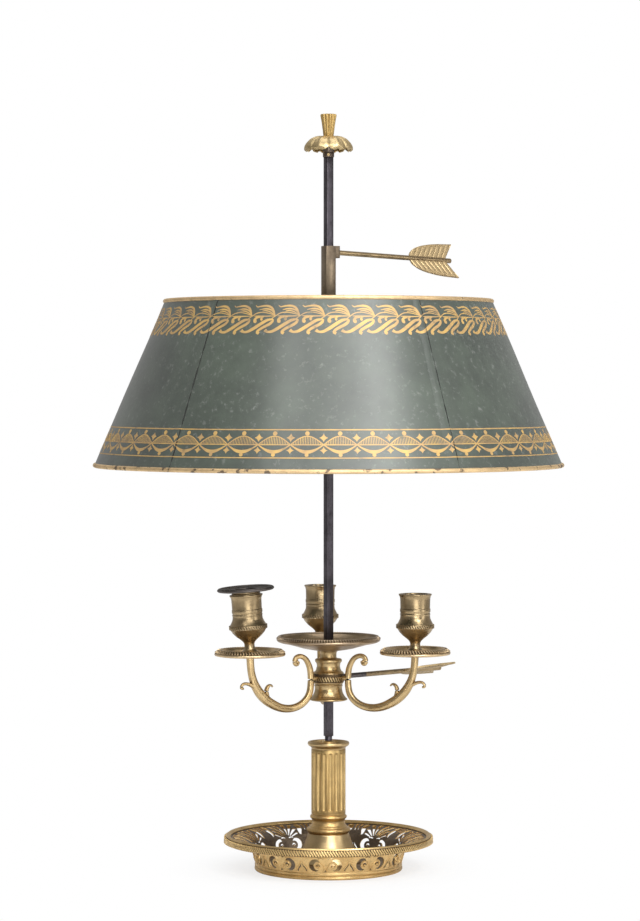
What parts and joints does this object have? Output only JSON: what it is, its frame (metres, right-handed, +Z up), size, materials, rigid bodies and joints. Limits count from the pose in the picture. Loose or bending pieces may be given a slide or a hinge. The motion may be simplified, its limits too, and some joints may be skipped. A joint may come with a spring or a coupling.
{
  "type": "bouillotte lamp",
  "caption": "Table candle lamp: pierced dish base, fluted column, square rod, sliding three-arm candle cluster and sliding painted metal shade, each clamped by an arrow key.",
  "frame": {"origin": "centre of the foot ring, on the surface that the lamp stands on", "axes": "+Z up along the rod; the picture looks along +Y with +X to its right"},
  "size_m": [0.4048, 0.4048, 0.65],
  "materials": {
    "base_brass": "cast, worn bright on high points, dull in hollows",
    "column_brass": "turned, brushed",
    "floor_brass": "dull, out of reach of polish",
    "rod_steel": "dark oxidised steel",
    "canopy_brass": "dark aged brass",
    "torch_gilt": "matte pale gilding",
    "cluster_brass": "aged brass, brown in hollows",
    "dark_metal": "blackened",
    "key_brass": "worn brass",
    "tole_paint": "old green paint with gilt ornament, scuffed",
    "bead_gilt": "worn gilding"
  },
  "bodies": {
    "root": {"foot_ring": "base_brass", "dish_floor": "floor_brass", "gallery_wall_1": "base_brass", "gallery_wall_2": "base_brass", "gallery_wall_3": "base_brass", "gallery_wall_4": "base_brass", "gallery_wall_5": "base_brass", "gallery_rim": "base_brass", "column_foot": "column_brass", "base_ring": "column_brass", "shaft_ring": "column_brass", "fluted_shaft": "column_brass", "column_lip": "column_brass", "column_boss": "column_brass", "rod": "rod_steel", "base_washer": "floor_brass", "base_nut": "rod_steel", "finial_collar": "canopy_brass", "collar_screw": "rod_steel", "leaf_canopy": "canopy_brass", "finial_torch": "torch_gilt"},
    "cluster": {"cluster_hub": "cluster_brass", "hub_cap": "cluster_brass", "centre_pan": "cluster_brass", "arm_left": "cluster_brass", "arm_right": "cluster_brass", "arm_back": "cluster_brass", "candle_pan_left": "cluster_brass", "candle_pan_right": "cluster_brass", "candle_pan_back": "cluster_brass", "candle_cup_left": "cluster_brass", "candle_cup_right": "cluster_brass", "candle_cup_back": "cluster_brass", "cup_stud_left": "rod_steel", "cup_stud_right": "rod_steel", "cup_stud_back": "rod_steel"},
    "bobeche": {"bobeche_collar": "cluster_brass", "bobeche_dish": "dark_metal"},
    "cluster_key": {"cluster_key_shaft": "key_brass", "cluster_key_vanes": "key_brass"},
    "shade_carrier": {"shade_sleeve": "canopy_brass", "shade_spider": "canopy_brass", "shade_panel_1": "tole_paint", "shade_panel_2": "tole_paint", "shade_panel_3": "tole_paint", "shade_panel_4": "tole_paint", "shade_panel_5": "tole_paint", "shade_top_bead": "bead_gilt", "shade_bottom_bead": "bead_gilt", "sleeve_boss": "canopy_brass"},
    "shade_key": {"shade_key_shaft": "key_brass", "shade_key_vanes": "key_brass"}
  },
  "joints": [
    {"name": "cluster_slide", "type": "slide", "parent": "root", "child": "cluster", "axis": [0, 0, 1], "range_m": [-0.034, 0.09]},
    {"name": "cluster_key_turn", "type": "hinge", "parent": "cluster", "child": "cluster_key", "pos_m": [0, 0, 0.1656], "axis": [0.7986, 0.6018, 0.0122], "range_deg": [0, 360]},
    {"name": "bobeche_lift", "type": "slide", "parent": "cluster", "child": "bobeche", "axis": [-0.0672, -0.0245, 0.9974], "range_m": [0, 0.045]},
    {"name": "shade_slide", "type": "slide", "parent": "root", "child": "shade_carrier", "axis": [0, 0, 1], "range_m": [-0.09, 0.075]},
    {"name": "shade_key_turn", "type": "hinge", "parent": "shade_carrier", "child": "shade_key", "pos_m": [0, 0, 0.5318], "axis": [0.8652, 0.4995, -0.0436], "range_deg": [0, 360]}
  ]
}
